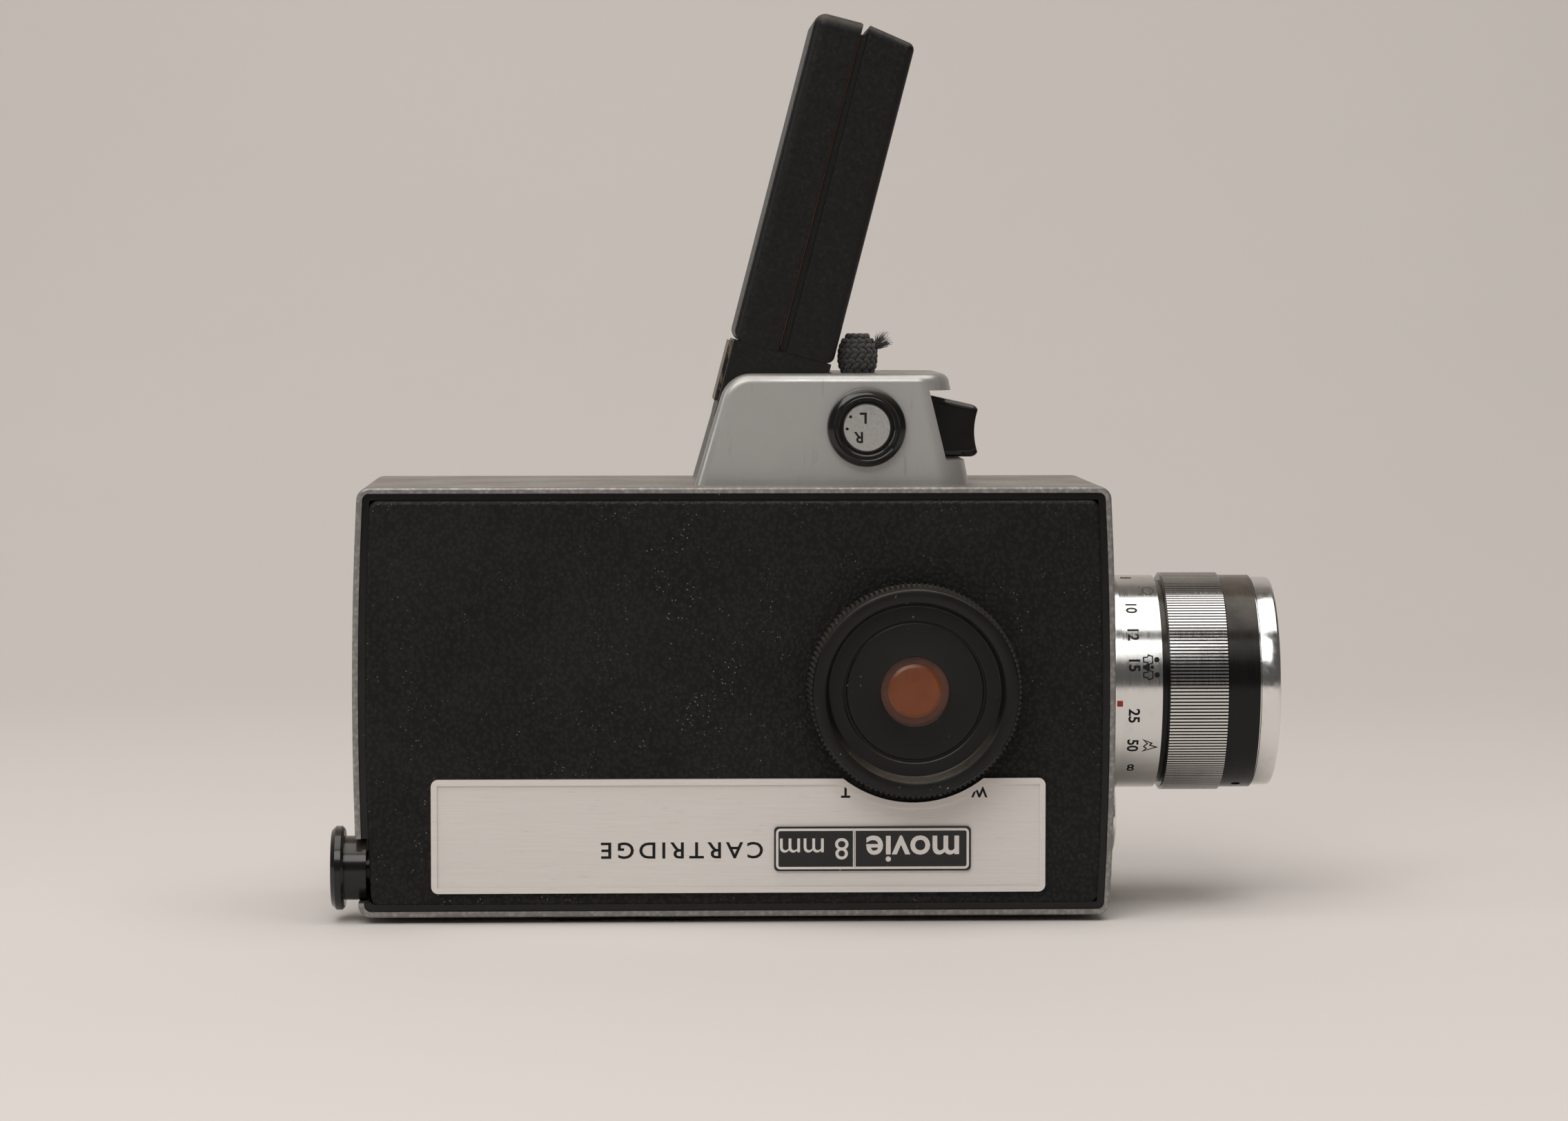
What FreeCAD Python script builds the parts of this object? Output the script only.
"""Compact cartridge cine camera with a folding pistol grip, as separate sub-parts.

The camera lies on its own top plate, grip upwards: +X points through the lens, +Z points
out of the grip, and the operator's left side, with the zoom dial, faces -Y.
The origin is the middle of the front rib of the light socket, which the camera rests on.
Unless a comment says otherwise, x and y are measured from the middle of the body.
"""
import FreeCAD, Part
import Sketcher
import math
import os

# Driving sizes in millimetres and degrees: name, value, meaning.
SIZES = [
    ("body_length", 142.0, "body, rear face to front face"),
    ("body_height", 80.0, "body, top plate to base plate"),
    ("body_width", 54.0, "body, left side to right side"),
    ("end_bow", 1.1, "how far the end faces bulge"),
    ("corner_radius", 2.4, "corners of the body seen from the side"),
    ("edge_radius", 0.5, "soft edges of the painted shell"),
    ("shell_wall", 1.8, "shell wall"),
    ("rim_width", 1.1, "painted rim round a side panel"),
    ("rim_depth", 2.4, "depth of the seat inside the rim"),
    ("trim_width", 1.25, "black channel round a side panel"),
    ("trim_recess", 0.8, "channel floor below the rim"),
    ("panel_gap", 0.05, "clearance round an inset panel"),
    ("cover_proud", 0.9, "leatherette above the rim"),
    ("cover_edge", 0.8, "rounded edge of the leatherette"),
    ("cover_corner", 1.7, "corners of the leatherette"),
    ("rib_height", 1.2, "ribs of the light socket"),
    ("rib_length", 8.2, "one rib along the body"),
    ("rib_width", 46.0, "one rib across the body"),
    ("rib_front", -11.9, "middle of the front rib"),
    ("rib_rear", -29.4, "middle of the rear rib"),
    ("rib_slope", 1.0, "slant of a rib's outer end"),
    ("plate_rear", 56.4, "nameplate, rear end from the middle"),
    ("plate_front", 57.7, "nameplate, front end from the middle"),
    ("plate_low", 4.7, "nameplate, lower edge above the top plate"),
    ("plate_high", 25.9, "nameplate, upper edge above the top plate"),
    ("plate_thick", 0.6, "nameplate sheet"),
    ("plate_lip", 0.4, "raised edge of the nameplate"),
    ("plate_lip_width", 1.1, "width of the raised edge"),
    ("plate_corner", 1.3, "nameplate corners"),
    ("plate_notch", 21.1, "radius of the cut-out round the dial"),
    ("badge_rear", 7.2, "badge, rear end"),
    ("badge_front", 43.8, "badge, front end"),
    ("badge_low", 8.7, "badge, lower edge"),
    ("badge_high", 17.0, "badge, upper edge"),
    ("badge_thick", 0.5, "badge sheet"),
    ("dial_x", 33.1, "zoom dial axis"),
    ("dial_height", 42.5, "zoom dial axis above the top plate"),
    ("dial_radius", 19.5, "zoom dial at its rim"),
    ("dial_flare", 0.5, "how much wider the dial is at its foot"),
    ("dial_depth", 8.4, "zoom dial thickness"),
    ("dial_gap", 0.3, "zoom dial above the leatherette"),
    ("dial_dish", 15.0, "radius of the dished face"),
    ("dial_dish_depth", 3.0, "depth of the dished face"),
    ("dial_well", 6.5, "radius of the centre well"),
    ("dial_well_depth", 1.6, "depth of the centre well"),
    ("dial_cap", 5.0, "radius of the amber cap"),
    ("zoom_shaft_radius", 2.5, "zoom shaft"),
    ("pinion_radius", 4.0, "pitch radius of the zoom pinion"),
    ("pinion_width", 4.0, "width of the zoom pinion"),
    ("run_gap", 0.05, "running clearance of a shaft"),
    ("lens_y", 6.0, "lens axis across the body"),
    ("lens_height", 41.0, "lens axis above the top plate"),
    ("lens_tube_radius", 16.9, "fixed lens tube"),
    ("lens_tube_wall", 1.6, "wall of the fixed lens tube"),
    ("flange_radius", 21.0, "lens flange"),
    ("flange_length", 2.7, "lens flange"),
    ("scale_radius", 20.5, "distance scale ring"),
    ("scale_length", 7.5, "distance scale ring"),
    ("groove_length", 1.2, "black groove behind the knurled ring"),
    ("groove_radius", 19.5, "black groove behind the knurled ring"),
    ("knurl_radius", 21.0, "knurled focusing ring"),
    ("knurl_length", 11.5, "knurled focusing ring"),
    ("barrel_radius", 20.5, "black front barrel"),
    ("barrel_length", 5.9, "black front barrel"),
    ("front_radius", 20.1, "chrome front ring"),
    ("front_length", 4.0, "chrome front ring"),
    ("filter_radius", 16.5, "filter seat in the front ring"),
    ("filter_depth", 3.0, "filter seat in the front ring"),
    ("front_glass", 14.0, "front lens element"),
    ("set_screw_radius", 0.9, "set screws of the front barrel"),
    ("eye_y", -21.0, "viewfinder axis across the body"),
    ("eye_height", 8.7, "viewfinder axis above the top plate"),
    ("eye_tube", 6.0, "eyepiece tube"),
    ("eye_tube_length", 4.15, "eyepiece tube"),
    ("eye_flange", 7.85, "eyepiece flange"),
    ("eye_flange_length", 2.4, "eyepiece flange"),
    ("eye_bore", 4.0, "eyepiece bore at the eye"),
    ("finder_radius", 3.4, "viewfinder tube"),
    ("finder_wall", 0.5, "viewfinder tube wall"),
    ("meter_y", 15.5, "light meter eye across the body"),
    ("meter_height", 13.8, "light meter eye above the top plate"),
    ("meter_radius", 7.4, "light meter bezel"),
    ("meter_proud", 4.0, "light meter bezel"),
    ("meter_glass", 5.2, "light meter window"),
    ("door_thick", 3.0, "film door"),
    ("door_gap", 0.1, "film door to shell"),
    ("door_knuckle", 1.6, "door hinge barrel"),
    ("door_pin", 0.8, "door hinge pin"),
    ("door_ear", 6.0, "hinge ear on the shell"),
    ("door_ear_inset", 6.0, "hinge ear from the body's edge"),
    ("web_y", -1.5, "chamber side of the mechanism plate"),
    ("web_thick", 1.5, "mechanism plate"),
    ("gate_x", 24.0, "film plane"),
    ("gate_thick", 1.5, "film gate plate"),
    ("chamber_length", 76.0, "cartridge chamber along the body"),
    ("spindle_x", -24.0, "take-up spindle"),
    ("spindle_radius", 3.0, "take-up spindle"),
    ("spindle_wheel", 10.0, "take-up friction wheel"),
    ("motor_y", -11.5, "motor axis across the body"),
    ("motor_height", 57.0, "motor axis above the top plate"),
    ("motor_radius", 8.0, "motor can"),
    ("motor_length", 32.0, "motor can"),
    ("motor_rear", -18.0, "rear end of the motor can"),
    ("roller_radius", 3.2, "motor roller"),
    ("shutter_y", -2.0, "shutter axis across the body"),
    ("shutter_height", 51.0, "shutter axis above the top plate"),
    ("shutter_radius", 17.0, "shutter disc"),
    ("shutter_pin_radius", 1.0, "shutter pivot pin"),
    ("housing_width", 38.0, "grip housing across the body"),
    ("housing_height", 20.9, "grip housing above the base plate"),
    ("housing_rear", -7.3, "rear end of the grip housing at its foot"),
    ("housing_rear_lean", 6.1, "rear edge's lean"),
    ("housing_front", 44.4, "front end of the grip housing at its foot"),
    ("housing_front_lean", 4.1, "front edge's lean"),
    ("housing_corner", 6.0, "upper rear corner of a cheek"),
    ("housing_round", 6.0, "front corners of the housing seen from above"),
    ("housing_edge", 1.9, "soft edges of the housing"),
    ("cheek_wall", 1.8, "cheek of the housing"),
    ("bay_clear", 3.3, "grip root to the bay wall"),
    ("bay_wall", 1.6, "wall between grip bay and trigger bay"),
    ("bay_front", 34.5, "front end of the trigger bay"),
    ("slot_low", 4.6, "trigger slot, lower edge above the base plate"),
    ("slot_high", 17.7, "trigger slot, upper edge above the base plate"),
    ("slot_rear_low", 39.8, "trigger slot, rear edge at its foot"),
    ("slot_rear_high", 36.6, "trigger slot, rear edge at its top"),
    ("end_plate_front", 34.9, "front edge of the end plate"),
    ("end_plate_thick", 3.2, "end plate of the housing"),
    ("mark_size", 1.1, "red index mark"),
    ("mark_thick", 0.12, "red index mark"),
    ("mark_inset", 0.1, "index mark to the front edge of the flange"),
    ("cord_gap", 0.3, "wrist cord knot to the front of the grip"),
    ("cord_y", -11.0, "wrist cord knot"),
    ("cord_radius", 1.5, "wrist cord"),
    ("knot_radius", 3.0, "wrist cord knot"),
    ("knot_height", 7.7, "wrist cord knot"),
    ("plate_screw_x", 31.0, "end plate screws"),
    ("plate_screw_y", 12.0, "end plate screws"),
    ("plate_screw_radius", 1.9, "end plate screw heads"),
    ("trigger_front", 46.7, "trigger's front face"),
    ("trigger_rear", 34.0, "trigger's rear end"),
    ("trigger_low", 4.9, "trigger's lower face above the base plate"),
    ("trigger_high", 14.5, "trigger's upper front edge above the base plate"),
    ("trigger_slope", 2.8, "how much the trigger's top rises to its rear"),
    ("trigger_width", 16.0, "trigger"),
    ("trigger_edge", 1.2, "soft side edges of the trigger"),
    ("trigger_nose", 1.6, "round front edges of the trigger"),
    ("trigger_hollow", 12.0, "radius of the finger hollow"),
    ("trigger_bite", 0.9, "depth of the finger hollow"),
    ("trigger_gap", 0.2, "trigger in its slot"),
    ("trigger_travel", 3.5, "trigger travel"),
    ("lock_x", 24.8, "lock knob"),
    ("lock_height", 10.8, "lock knob above the base plate"),
    ("lock_radius", 7.4, "lock ring"),
    ("lock_inner", 5.0, "inside of the lock ring"),
    ("lock_disc_radius", 4.5, "lock disc"),
    ("lock_proud", 2.2, "lock ring above the cheek"),
    ("lock_stem", 2.0, "lock stem"),
    ("pivot_x", 5.7, "grip pivot"),
    ("pivot_height", 11.3, "grip pivot above the base plate"),
    ("pivot_pin", 2.5, "grip pivot pin"),
    ("pin_skin", 0.8, "cheek metal left over the ends of the pin"),
    ("grip_lean", 14.5, "grip, forward from upright"),
    ("grip_reach", 77.2, "grip, pivot to tip"),
    ("grip_start", 14.0, "grip shells, pivot to lower end"),
    ("grip_depth", 19.4, "grip, rear face to front face"),
    ("grip_width", 34.0, "grip across"),
    ("grip_wall", 1.6, "wall of a grip shell"),
    ("grip_edge", 2.2, "soft rear edges of the grip"),
    ("cover_edge_front", 1.5, "soft front edges of the battery cover"),
    ("split_rear", -0.9, "rear edge of the split line"),
    ("split_front", 0.6, "front edge of the split line"),
    ("split_recess", 1.0, "core below the grip surface"),
    ("core_short", 2.2, "core below the tip of the grip"),
    ("tip_slope", 9.0, "slope of the battery cover's tip, in degrees"),
    ("root_depth", 18.8, "grip root, rear face to front face"),
    ("rear_plate_width", 22.0, "plate on the rear of the root"),
    ("rear_plate_thick", 0.7, "plate on the rear of the root"),
    ("rear_plate_low", 2.0, "plate on the rear of the root, above the pivot"),
    ("rear_plate_gap", 0.4, "plate on the rear of the root, below the shells"),
    ("rear_plate_corner", 0.6, "corners of the plate on the root"),
    ("root_clear", 0.3, "grip root to a cheek"),
    ("cell_radius", 7.0, "AA cell"),
    ("cell_length", 50.0, "AA cell"),
    ("cell_gap", 0.5, "between the two cells"),
    ("contact_thick", 0.5, "battery contact"),
]
SIZE_NAMES = [name for name, value, meaning in SIZES]

# Places worked out from the driving sizes: half sizes, planes and axes.
HALF_LENGTH = "body_length / 2"
HALF_WIDTH = "body_width / 2"
TOP = "rib_height"                                        # top plate, facing down
BASE = "(rib_height + body_height)"                       # base plate, facing up
BOW = "((body_height^2 / 4 + end_bow^2) / (2 * end_bow))"  # radius of the end faces
PANEL_INSET = "(rim_width + trim_width + 2 * panel_gap)"
COVER_FACE = "(-body_width / 2 - cover_proud)"            # outer face of the left cover
SEAT_FACE = "(-body_width / 2 + rim_depth)"               # floor under trim and cover
PLATE_FACE = "(-body_width / 2 - cover_proud - plate_thick)"
DOOR_FACE = "(body_width / 2 - door_thick)"               # inner face of the film door
DOOR_AXIS_X = "(door_knuckle - body_length / 2)"
DOOR_AXIS_Y = "(body_width / 2 - door_knuckle)"
DIAL_Z = "(rib_height + dial_height)"
LENS_Z = "(rib_height + lens_height)"
EYE_Z = "(rib_height + eye_height)"
METER_Z = "(rib_height + meter_height)"
MOTOR_Z = "(rib_height + motor_height)"
SHUTTER_Z = "(rib_height + shutter_height)"
PIVOT_Z = "(rib_height + body_height + pivot_height)"
LOCK_Z = "(rib_height + body_height + lock_height)"
HOUSING_TOP = "(rib_height + body_height + housing_height)"
INNER_LOW = "(rib_height + shell_wall)"
INNER_HIGH = "(rib_height + body_height - shell_wall)"
CHEEK_IN = "(housing_width / 2 - cheek_wall)"
SCALE_X = "(body_length / 2 + flange_length + run_gap)"
GROOVE_X = "(body_length / 2 + flange_length + scale_length)"
KNURL_X = "(body_length / 2 + flange_length + scale_length + groove_length)"
BARREL_X = "(body_length / 2 + flange_length + scale_length + groove_length + knurl_length)"
FRONT_X = f"({BARREL_X} + barrel_length)"
BAY_X = "(pivot_x + root_depth / 2 + bay_clear)"          # rear face of the bay wall
# The knot stands just in front of the leaning grip, measured at the height of the knot's top.
CORD_X = ("(pivot_x + tan(grip_lean) * (housing_height + knot_height - pivot_height)"
          " + grip_depth / 2 / cos(grip_lean) + cord_gap + knot_radius)")

doc = FreeCAD.newDocument("CineCamera")
sheet = doc.addObject("Spreadsheet::Sheet", "Sizes")
for row, (size_name, size_value, size_meaning) in enumerate(SIZES, start=1):
    sheet.set(f"A{row}", size_name)
    sheet.set(f"B{row}", str(size_value))
    sheet.setAlias(f"B{row}", size_name)
    sheet.set(f"C{row}", size_meaning)
doc.recompute()

SUB_PARTS = []
X_AXIS = FreeCAD.Vector(1, 0, 0)
Y_AXIS = FreeCAD.Vector(0, 1, 0)
Z_AXIS = FreeCAD.Vector(0, 0, 1)
# How a Part::Cylinder, which grows along Z, is turned to grow along another axis.
ROD_TURN = {"x": (Y_AXIS, 90), "y": (X_AXIS, -90), "z": (Z_AXIS, 0)}
# How a turned profile, which grows along X, is turned to grow along another direction.
LATHE_TURN = {"+x": (Z_AXIS, 0), "-x": (Z_AXIS, 180), "+y": (Z_AXIS, 90), "-y": (Z_AXIS, -90),
              "+z": (Y_AXIS, -90), "-z": (Y_AXIS, 90)}


# ---- helpers -----------------------------------------------------------------------------

def formula(text):
    """The text as an expression, with the sheet's name before each size name."""
    result, word = "", ""
    for letter in str(text) + " ":
        if letter.isalnum() or letter in "_.":
            word += letter
        else:
            result += ("Sizes." + word if word in SIZE_NAMES else word) + letter
            word = ""
    return result.strip()


def value(text):
    """The number that a formula gives now."""
    return float(sheet.evalExpression(formula(text)))


def bind(item, prop, text):
    item.setExpression(prop, formula(text))


def place(item, x, y, z, turn=None, own_frame=False):
    """Put an object at x, y, z of the camera, or of its own frame."""
    axis, angle = turn or (Z_AXIS, 0)
    item.Placement = FreeCAD.Placement(FreeCAD.Vector(), FreeCAD.Rotation(axis, angle))
    bind(item, "Placement.Base.x", f"{x}" if own_frame else f"{x} - rib_front")
    bind(item, "Placement.Base.y", y)
    bind(item, "Placement.Base.z", z)


def box(name, x, y, z, own_frame=False):
    """A block between two formulas on each axis."""
    item = doc.addObject("Part::Box", name)
    for prop, (low, high) in zip(("Length", "Width", "Height"), (x, y, z)):
        bind(item, prop, f"({high}) - ({low})")
    place(item, x[0], y[0], z[0], own_frame=own_frame)
    return item


def rod(name, axis, radius, start, end, centre, own_frame=False):
    """A cylinder along an axis from start to end; centre gives its other two coordinates."""
    item = doc.addObject("Part::Cylinder", name)
    bind(item, "Radius", radius)
    bind(item, "Height", f"({end}) - ({start})")
    first, second = centre
    point = {"x": (start, first, second), "y": (first, start, second), "z": (first, second, start)}
    place(item, *point[axis], turn=ROD_TURN[axis], own_frame=own_frame)
    return item


def fuse(name, *shapes):
    item = doc.addObject("Part::MultiFuse", name)
    item.Shapes = list(shapes)
    item.Refine = True
    return item


def cut(name, base, *tools):
    item = doc.addObject("Part::Cut", name)
    item.Base = base
    item.Tool = tools[0] if len(tools) == 1 else fuse(name + "Tools", *tools)
    return item


def rounded(name, base, radius, wanted):
    """Round the edges of base that wanted(edge) picks."""
    doc.recompute()
    size = value(radius)
    numbers = [i for i, edge in enumerate(base.Shape.Edges, start=1) if wanted(edge)]
    if not numbers:
        raise ValueError("no edge to round on " + name)
    item = doc.addObject("Part::Fillet", name)
    item.Base = base
    item.Edges = [(number, size, size) for number in numbers]
    return item


def straight_along(axis):
    """Picks straight edges along an axis."""
    def wanted(edge):
        if not isinstance(edge.Curve, (Part.Line, Part.LineSegment)):
            return False
        return abs(abs(edge.tangentAt(edge.FirstParameter).dot(axis)) - 1) < 1e-6
    return wanted


def lying_in(axis, text):
    """Picks edges that lie in a plane across an axis, given in the object's own frame."""
    place_on_axis = value(text)

    def wanted(edge):
        points = [edge.valueAt(edge.FirstParameter), edge.valueAt(edge.LastParameter),
                  edge.valueAt((edge.FirstParameter + edge.LastParameter) / 2)]
        return all(abs(point.dot(axis) - place_on_axis) < 1e-4 for point in points)
    return wanted


def new_sketch(body, plane):
    """An empty sketch on one of the body's own origin planes."""
    sketch = body.newObject("Sketcher::SketchObject", body.Name + "Sketch")
    support = [item for item in body.Origin.OriginFeatures if item.Role == plane][0]
    sketch.AttachmentSupport = [(support, "")]
    sketch.MapMode = "FlatFace"
    return sketch


def bind_points(sketch, ends, points):
    """Fix geometry ends, given as (index, start 1 or end 2), at bound points."""
    for (index, end), (across, up) in zip(ends, points):
        for kind, text in (("DistanceX", across), ("DistanceY", up)):
            number = sketch.addConstraint(Sketcher.Constraint(kind, -1, 1, index, end, value(text)))
            bind(sketch, f"Constraints[{number}]", text)


def sketch_outline(body, plane, points):
    """A closed sketch of straight lines through bound points."""
    sketch = new_sketch(body, plane)
    corners = [FreeCAD.Vector(value(across), value(up), 0) for across, up in points]
    count = len(corners)
    for index, corner in enumerate(corners):
        sketch.addGeometry(Part.LineSegment(corner, corners[(index + 1) % count]), False)
    for index in range(count):
        sketch.addConstraint(Sketcher.Constraint("Coincident", index, 2, (index + 1) % count, 1))
    bind_points(sketch, [(index, 1) for index in range(count)], points)
    return sketch


def turned(name, points, direction, x, y, z, own_frame=False):
    """A piece turned on a lathe: points are (along the axis, radius)."""
    body = doc.addObject("PartDesign::Body", name)
    sketch = sketch_outline(body, "XY_Plane", points)
    lathe = body.newObject("PartDesign::Revolution", name + "Revolution")
    lathe.Profile = sketch
    lathe.ReferenceAxis = (sketch, ["H_Axis"])
    lathe.Angle = 360
    place(body, x, y, z, turn=LATHE_TURN[direction], own_frame=own_frame)
    return body


def profile_plate(name, points, width):
    """A plate of an outline in X and Z, centred on Y = 0, in its own frame."""
    body = doc.addObject("PartDesign::Body", name)
    sketch = sketch_outline(body, "XZ_Plane", points)
    pad = body.newObject("PartDesign::Pad", name + "Pad")
    pad.Profile = sketch
    pad.Midplane = True
    bind(pad, "Length", width)
    return body


def bowed_block(name, inset, y, corner=None):
    """A block of the body's side outline, moved in by inset, between two planes on Y."""
    body = doc.addObject("PartDesign::Body", name + "Blank")
    sketch = new_sketch(body, "XZ_Plane")
    radius = f"({BOW} - ({inset}))"
    centre = f"({HALF_LENGTH} - {BOW})"
    low, high = f"({TOP} + {inset})", f"({BASE} - ({inset}))"
    reach = f"({centre} + sqrt({radius}^2 - (body_height / 2 - ({inset}))^2))"
    corners = [(f"-{reach}", low), (reach, low), (reach, high), (f"-{reach}", high)]
    points = [FreeCAD.Vector(value(across), value(up), 0) for across, up in corners]
    half_turn = math.asin(value(f"body_height / 2 - ({inset})") / value(radius))
    middle = value(f"{TOP} + body_height / 2")
    for sign, start in ((1, 0.0), (-1, math.pi)):
        sketch.addGeometry(Part.LineSegment(points[1 - sign], points[2 - sign]), False)
        circle = Part.Circle(FreeCAD.Vector(sign * value(centre), middle, 0), Z_AXIS, value(radius))
        sketch.addGeometry(Part.ArcOfCircle(circle, start - half_turn, start + half_turn), False)
    for index in range(4):
        sketch.addConstraint(Sketcher.Constraint("Coincident", index, 2, (index + 1) % 4, 1))
    bind_points(sketch, [(0, 1), (0, 2), (2, 1), (2, 2)], corners)
    for arc in (1, 3):
        number = sketch.addConstraint(Sketcher.Constraint("Radius", arc, value(radius)))
        bind(sketch, f"Constraints[{number}]", radius)
    pad = body.newObject("PartDesign::Pad", name + "Pad")
    pad.Profile = sketch
    bind(pad, "Length", f"({y[1]}) - ({y[0]})")
    place(body, "0", y[1], "0")
    corner = corner or f"max(corner_radius - ({inset}); 0.4)"
    return rounded(name, body, corner, straight_along(Y_AXIS))


def sub_part(label, item):
    item.Label = label
    SUB_PARTS.append(item)
    return item


# ---- body --------------------------------------------------------------------------------

def make_body_shell():
    outer = bowed_block("ShellOuter", "0", (f"-{HALF_WIDTH}", f"{DOOR_FACE} - door_gap"))
    soft = rounded("ShellSoft", outer, "edge_radius", lying_in(Y_AXIS, f"-{HALF_WIDTH}"))
    ears = []
    for end, low in (("Low", f"{TOP} + door_ear_inset"), ("High", f"{BASE} - door_ear_inset - door_ear")):
        z = (low, f"{low} + door_ear")
        ears.append(rod("Ear" + end, "z", "door_knuckle", *z, (DOOR_AXIS_X, DOOR_AXIS_Y)))
        x = (f"{DOOR_AXIS_X} - door_knuckle", f"{DOOR_AXIS_X} + door_knuckle")
        ears.append(box("EarFoot" + end, x, (f"{DOOR_FACE} - shell_wall", DOOR_AXIS_Y), z))
    cast = fuse("ShellCast", soft, *ears)
    inner = bowed_block("ShellInner", "shell_wall", (SEAT_FACE, HALF_WIDTH))
    seat = bowed_block("ShellSeat", "rim_width", (f"-{HALF_WIDTH} - 1", SEAT_FACE))
    hollow = cut("ShellHollow", cast, inner, seat)
    front = (f"{HALF_LENGTH} - 2 * shell_wall", f"{HALF_LENGTH} + 1")
    rear = (f"-{HALF_LENGTH} - 1", f"2 * shell_wall - {HALF_LENGTH}")
    eye_gap = "eye_tube + run_gap"
    knuckles = (f"{TOP} + door_ear_inset + door_ear", f"{BASE} - door_ear_inset - door_ear")
    tools = [
        rod("LensHole", "x", "lens_tube_radius", *front, ("lens_y", LENS_Z)),
        rod("FinderHole", "x", "finder_radius", *front, ("eye_y", EYE_Z)),
        rod("MeterHole", "x", "meter_glass", *front, ("meter_y", METER_Z)),
        rod("EyeHole", "x", eye_gap, *rear, ("eye_y", EYE_Z)),
        box("EyeNotch", rear, (f"-{HALF_WIDTH} - 1", "eye_y"),
            (f"{EYE_Z} - {eye_gap}", f"{EYE_Z} + {eye_gap}")),
        rod("HingeGroove", "z", "door_knuckle + 0.15", *knuckles, (DOOR_AXIS_X, DOOR_AXIS_Y)),
        rod("HingeBore", "z", "door_pin", f"{TOP} + door_ear_inset", f"{BASE} - door_ear_inset",
            (DOOR_AXIS_X, DOOR_AXIS_Y)),
        box("LatchNotch", (f"{HALF_LENGTH} - shell_wall - 3", f"{HALF_LENGTH} - rim_width / 2"),
            (f"{DOOR_FACE} - 2", HALF_WIDTH), (f"{LENS_Z} - 4.2", f"{LENS_Z} + 4.2")),
        box("LightSeat", ("rib_rear - rib_length / 2 - rib_slope", "rib_front + rib_length / 2 + rib_slope"),
            ("-rib_width / 2", "rib_width / 2"), (TOP, f"{TOP} + 0.6")),
    ]
    return sub_part("body_shell", cut("BodyShell", hollow, *tools))


def make_left_side():
    eye_gap = "eye_tube + run_gap"
    notch_z = (f"{EYE_Z} - {eye_gap}", f"{EYE_Z} + {eye_gap}")
    frame_y = (f"-{HALF_WIDTH} + trim_recess", SEAT_FACE)
    outer = bowed_block("TrimOuter", "rim_width + panel_gap", frame_y)
    inner = bowed_block("TrimInner", "rim_width + panel_gap + trim_width", (f"-{HALF_WIDTH}", HALF_WIDTH))
    gap = box("TrimNotch", (f"-{HALF_LENGTH}", f"-{HALF_LENGTH} + 2 * {PANEL_INSET}"),
              (f"-{HALF_WIDTH}", "eye_y"), notch_z)
    sub_part("left_trim_frame", cut("LeftTrimFrame", outer, inner, gap))

    blank = bowed_block("CoverBlank", PANEL_INSET, (COVER_FACE, SEAT_FACE), "cover_corner")
    domed = rounded("CoverDomed", blank, "cover_edge", lying_in(Y_AXIS, COVER_FACE))
    bush_hole = rod("CoverHole", "y", "zoom_shaft_radius + 2", COVER_FACE, SEAT_FACE, ("dial_x", DIAL_Z))
    sub_part("left_cover", cut("LeftCover", domed, bush_hole))

    plate_z = (f"{TOP} + plate_low", f"{TOP} + plate_high")
    blank = box("PlateBlank", ("-plate_rear", "plate_front"), (f"{PLATE_FACE} - plate_lip", COVER_FACE),
                plate_z)
    corners = rounded("PlateCorners", blank, "plate_corner", straight_along(Y_AXIS))
    lip = "plate_lip_width"
    field = box("PlateField", (f"{lip} - plate_rear", f"plate_front - {lip}"),
                (f"{PLATE_FACE} - 2", PLATE_FACE), (f"{plate_z[0]} + {lip}", f"{plate_z[1]} - {lip}"))
    rim = rod("PlateArcRim", "y", f"plate_notch + {lip}", f"{PLATE_FACE} - 2", PLATE_FACE,
              ("dial_x", DIAL_Z))
    floor = cut("PlateFloor", field, rim)
    notch = rod("PlateNotch", "y", "plate_notch", f"{PLATE_FACE} - 2", COVER_FACE, ("dial_x", DIAL_Z))
    sub_part("nameplate", cut("Nameplate", corners, floor, notch))

    badge = box("BadgeBlank", ("badge_rear", "badge_front"), (f"{PLATE_FACE} - badge_thick", PLATE_FACE),
                (f"{TOP} + badge_low", f"{TOP} + badge_high"))
    sub_part("badge_plate", rounded("Badge", badge, "0.8", straight_along(Y_AXIS)))


def make_light_socket():
    """Cover of the movie light socket: a base let into the top plate and two raised ribs."""
    ribs = []
    for name, middle, outward in (("RibRear", "rib_rear", -1), ("RibFront", "rib_front", 1)):
        low, high = f"{middle} - rib_length / 2", f"{middle} + rib_length / 2"
        slope_low = f"{low} - rib_slope" if outward < 0 else low
        slope_high = f"{high} + rib_slope" if outward > 0 else high
        outline = [(low, "0"), (high, "0"), (slope_high, TOP), (slope_low, TOP)]
        rib = profile_plate(name, outline, "rib_width")
        place(rib, "0", "0", "0")
        ribs.append(rib)
    base = box("SocketBase", ("rib_rear - rib_length / 2 - rib_slope", "rib_front + rib_length / 2 + rib_slope"),
               ("-rib_width / 2", "rib_width / 2"), (TOP, f"{TOP} + 0.6"))
    sub_part("light_socket", fuse("LightSocket", base, *ribs))


# ---- zoom drive --------------------------------------------------------------------------

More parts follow.
